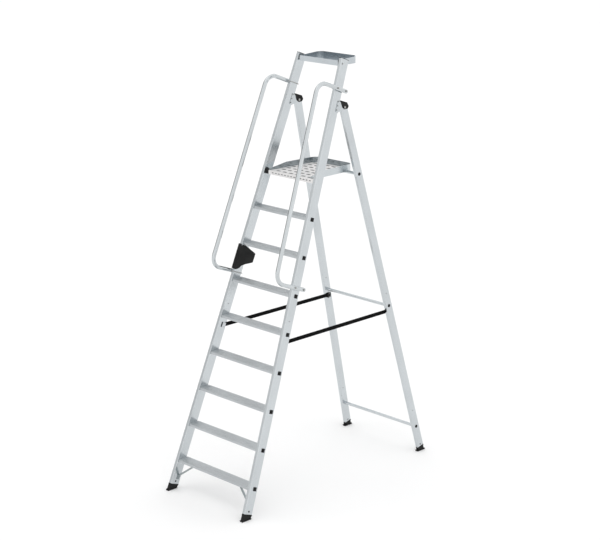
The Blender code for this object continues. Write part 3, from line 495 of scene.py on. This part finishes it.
def make_platform_skins():
    """The toe board's inner side in a darker aluminium as painted shade, and the deck's bright finish
    round its front fold and lip.
    """
    low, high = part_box("platform_deck")
    deck = JOINTS["platform_fold"]["pos_m"][2] + DECK_ABOVE_PIVOT
    middle = Vector((0, (low.y + high.y) / 2, 0))

    def inner_side(face):
        centre = face.calc_center_median()
        inward = (middle - centre).to_2d().dot(face.normal.to_2d()) > 0
        return inward and abs(face.normal.z) < 0.3 and centre.z > deck + 0.0005

    def front_lip(face):
        centre = face.calc_center_median()
        return face.normal.y < -0.05 and centre.y < low.y + FOLD_DEPTH + 0.0005

    make_skin("toe_board_painted_shade", "platform_deck", inner_side, "toe_board_shade")
    make_skin("deck_lip_skin", "platform_deck", front_lip, "deck")


# ---------------------------------------------------------------- fixings
def make_nuts(name, side):
    """Hexagon nuts and washers on the ends of the U-bolts, outside the rails."""
    place = stile_frame(side)
    for level, height in (("upper", RAIL_TOP), ("lower", RAIL_BOTTOM)):
        up = height / math.cos(STILE_SPLAY)
        shape = bmesh.new()
        for back in U_BOLT_BACK:
            face = side * (RAIL_DIAMETER + 0.0008)
            add_lathe(shape, (face, back, up), (side, 0, 0), [(0.0068, 0), (0.0068, 0.0012)], 24)
            start = (face + side * 0.0012, back, up)
            add_lathe(shape, start, (side, 0, 0), [(NUT, 0), (NUT, 0.0042), (NUT - 0.0010, 0.0050)], 6)
        finish_piece(f"rail_nuts_{name}_{level}", shape, "steel", "front_frame", place)


def make_rivets(name, side):
    """Rivet heads on the stile's outer side: bracket, foot, brace and strap fixings."""
    shape = bmesh.new()
    scale = 1 / math.cos(STILE_SPLAY)
    head = dome(0.0052, 0.0020)
    for up in BRACKET_RIVETS:
        for face in (side * PLATE_THICK, -side * (STILE_WIDTH + PLATE_THICK)):
            outward = side if face * side > 0 else -side
            add_lathe(shape, (face, BRACKET_RIVET_BACK, up * scale), (outward, 0, 0), head, 16)
    faces = ((0, side), (-side * STILE_WIDTH, -side))
    for up, back, radius in STILE_RIVETS:
        for face, outward in faces:
            add_lathe(shape, (face, back, up * scale), (outward, 0, 0), dome(radius, 0.0018), 18)
    up, back = BRACE_RIVET
    inner = -side * (STILE_WIDTH + 0.0034)
    add_lathe(shape, (inner, back, up * scale), (-side, 0, 0), dome(0.0038, 0.0018), 16)
    finish_piece(f"stile_rivets_{name}", shape, "rivet", "front_frame", stile_frame(side))
    shape = bmesh.new()
    up, back = FOOT_STUD
    for face, outward in faces:
        add_lathe(shape, (face, back, up * scale), (outward, 0, 0), dome(0.0062, 0.0018), 16)
    finish_piece(f"foot_studs_{name}", shape, "plastic", "front_frame", stile_frame(side))


def make_leg_rivets(name, side):
    shape = bmesh.new()
    length = PIVOT.z / math.cos(REAR_LEAN) / math.cos(LEG_SPLAY)
    for up in LEG_RIVETS:
        for face, outward in ((0, side), (-side * LEG_WIDTH, -side)):
            add_lathe(shape, (face, 0, up - length), (outward, 0, 0), dome(0.0034, 0.0016), 16)
    finish_piece(f"leg_rivets_{name}", shape, "rivet", "rear_frame", leg_frame(side))
    shape = bmesh.new()
    for face, outward in ((0, side), (-side * LEG_WIDTH, -side)):
        add_lathe(shape, (face, 0, LEG_STUD - length), (outward, 0, 0), dome(0.0050, 0.0018), 16)
    finish_piece(f"leg_studs_{name}", shape, "plastic", "rear_frame", leg_frame(side))


def make_tube_caps(name, side):
    """Domed black caps over the ends of the cross tubes."""
    for level in ("lower", "upper", "platform"):
        low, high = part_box(f"tube_plug_{level}_{name}")
        middle = (low + high) / 2
        face = high.x if side > 0 else low.x
        shape = bmesh.new()
        base = (face - side * 0.0004, middle.y, middle.z)
        add_lathe(shape, base, (side, 0, 0), dome(TUBE_CAP_RADIUS, 0.0022), 24)
        finish_piece(f"tube_cap_{level}_{name}", shape, "plastic", "rear_frame")


def make_clamp_rivets(name, side):
    for end, body in (("front", "front_frame"), ("rear", "rear_frame")):
        low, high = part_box(f"strap_clamp_{end}_{name}")
        middle = (low + high) / 2
        face = low.x if side > 0 else high.x
        shape = bmesh.new()
        for lift in (-0.0115, 0.0115):
            centre = (face + side * 0.0013, middle.y, middle.z + lift)
            add_lathe(shape, centre, (-side, 0, 0), dome(0.0035, 0.0022), 16)
        finish_piece(f"clamp_rivets_{end}_{name}", shape, "steel", body)


def make_strap(name, side):
    """Webbing with many cross sections and thick woven edges, running between its clamps."""
    low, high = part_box(f"strap_{name}")
    node = frame["nodes"][f"strap_{name}"]
    ends = {}
    for vertex in node.data.vertices:
        ends.setdefault("front" if vertex.co.y < 0 else "rear", []).append(vertex.co.x)
    front_x = sum(ends["front"]) / len(ends["front"])
    rear_x = sum(ends["rear"]) / len(ends["rear"])
    middle = (low.z + high.z) / 2
    half = (high.z - low.z) / 2
    thick = STRAP_HALF_THICK
    edge = half - STRAP_HALF_THICK
    outline = [(thick, -edge), (thick, edge), (thick / 2, half), (-thick / 2, half)]
    outline += [(-thick, edge), (-thick, -edge), (-thick / 2, -half), (thick / 2, -half)]
    shape = bmesh.new()
    under_clamp = sum(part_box(f"strap_clamp_front_{name}"), Vector()).y / 2
    rings = []
    for k in range(STRAP_SECTIONS + 1):
        share = k / STRAP_SECTIONS
        x = front_x + (rear_x - front_x) * share
        y = under_clamp + (high.y - under_clamp) * share
        rings.append([shape.verts.new((x + a, y, middle + b)) for a, b in outline])
    for first, second in zip(rings, rings[1:]):
        for k in range(8):
            shape.faces.new((first[k], first[(k + 1) % 8], second[(k + 1) % 8], second[k]))
    shape.faces.new(rings[0])
    shape.faces.new(rings[-1][::-1])
    piece = finish_piece(f"webbing_{name}", shape, "webbing", "front_frame")
    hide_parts(f"strap_{name}")
    far = Vector((rear_x, sum(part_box(f"strap_clamp_rear_{name}"), Vector()).y / 2, middle))
    fold = JOINTS["rear_fold"]
    turn = Matrix.Rotation(math.radians(fold["range_deg"][1]), 3, Vector(fold["axis"]))
    move = PIVOT + turn @ (far - PIVOT) - far
    move.x = 0
    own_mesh(piece)


def make_pad_ribs():
    """Grip ribs on the moulded pad's outer face."""
    shape = bmesh.new()
    side = SIDES["left"]
    inner, outer = sorted((side * 0.0046, side * 0.0060))
    for k in range(PAD_RIBS):
        up = PAD_RIB_START + PAD_RIB_PITCH * k
        add_box(shape, (inner, 0.070, up), (outer, 0.130, up + PAD_RIB_HEIGHT), 0.0006, 2)
    finish_piece("pad_ribs", shape, "plastic", "front_frame", stile_frame(side))


# ---------------------------------------------------------------- studio
def make_floor():
    shape = bmesh.new()
    bmesh.ops.create_grid(shape, x_segments=1, y_segments=1, size=60)
    mesh = bpy.data.meshes.new("floor")
    shape.to_mesh(mesh)
    shape.free()
    floor = bpy.data.objects.new("floor", mesh)
    bpy.context.scene.collection.objects.link(floor)
    shader = Shader("pale_floor")
    tone = shader.noise(shader.place, 0.6, 2.0)
    shader.colour(shader.mixed(shader.ramp(tone, 0, 1), (0.93, 0.93, 0.93), (0.95, 0.95, 0.95)))
    shader.surface.inputs["Roughness"].default_value = 0.9
    mesh.materials.append(shader.material)


def make_light(name, place, target, size, power):
    light = bpy.data.lights.new(name, "AREA")
    light.shape = "RECTANGLE"
    light.size = size
    light.size_y = size
    light.energy = power
    lamp = bpy.data.objects.new(name, light)
    lamp.location = place
    lamp.rotation_mode = "QUATERNION"
    lamp.rotation_quaternion = (Vector(target) - Vector(place)).to_track_quat("-Z", "Y")
    bpy.context.scene.collection.objects.link(lamp)


def make_studio():
    """White light and backdrop all round, two soft lamps, and one darker band that the metal reflects."""
    world = bpy.data.worlds.new("studio")
    world.use_nodes = True
    tree = world.node_tree
    background = tree.nodes["Background"]
    background.inputs["Color"].default_value = (1, 1, 1, 1)
    towards = tree.nodes.new("ShaderNodeTexCoord")
    facing = tree.nodes.new("ShaderNodeVectorMath")
    facing.operation = "DOT_PRODUCT"
    facing.inputs[1].default_value = DARK_SIDE
    tree.links.new(towards.outputs["Generated"], facing.inputs[0])
    band = tree.nodes.new("ShaderNodeMapRange")
    band.interpolation_type = "SMOOTHSTEP"
    band.inputs["From Min"].default_value = BAND_EDGE
    band.inputs["From Max"].default_value = BAND_CORE
    band.inputs["To Min"].default_value = WORLD_LIGHT
    band.inputs["To Max"].default_value = BAND_LIGHT
    tree.links.new(facing.outputs["Value"], band.inputs["Value"])
    rays = tree.nodes.new("ShaderNodeLightPath")
    backdrop = tree.nodes.new("ShaderNodeMath")
    backdrop.operation = "MULTIPLY"
    tree.links.new(rays.outputs["Is Camera Ray"], backdrop.inputs[0])
    backdrop.inputs[1].default_value = WORLD_LIGHT
    brighter = tree.nodes.new("ShaderNodeMath")
    brighter.operation = "MAXIMUM"
    tree.links.new(band.outputs["Result"], brighter.inputs[0])
    tree.links.new(backdrop.outputs["Value"], brighter.inputs[1])
    tree.links.new(brighter.outputs["Value"], background.inputs["Strength"])
    bpy.context.scene.world = world
    bpy.context.scene.view_settings.view_transform = "Standard"
    make_light("side", (7.0, 1.0, 4.0), (0, 0, 1.2), 5.0, 10)
    make_light("top", (-1.0, -2.0, 8.0), (0, 0, 1.4), 4.0, 12)


def make_camera():
    azimuth = math.radians(CAMERA_AZIMUTH)
    elevation = math.radians(CAMERA_ELEVATION)
    back = Vector((
        math.sin(azimuth) * math.cos(elevation),
        -math.cos(azimuth) * math.cos(elevation),
        math.sin(elevation),
    ))
    right = Vector((math.cos(azimuth), math.sin(azimuth), 0))
    up = back.cross(right)
    data = bpy.data.cameras.new("camera")
    data.sensor_width = 36.0
    data.sensor_fit = "HORIZONTAL"
    data.lens = CAMERA_LENS
    data.clip_start = 0.1
    data.clip_end = 200
    camera = bpy.data.objects.new("camera", data)
    turn = Matrix((right, up, back)).transposed().to_4x4()
    place = Vector(CAMERA_PLACE)
    place.y += FRONT.translation.y
    camera.matrix_world = Matrix.Translation(place) @ turn
    bpy.context.scene.collection.objects.link(camera)
    bpy.context.scene.camera = camera


make_camera()
dress_nodes()
for number in STEPS:
    make_tread_ribs(number)
make_deck_pattern()
make_platform_skins()
make_pad_ribs()
for name, side in SIDES.items():
    make_step_plugs(name, side)
    make_nuts(name, side)
    make_rivets(name, side)
    make_leg_rivets(name, side)
    make_tube_caps(name, side)
    make_clamp_rivets(name, side)
    make_strap(name, side)
make_floor()
make_studio()
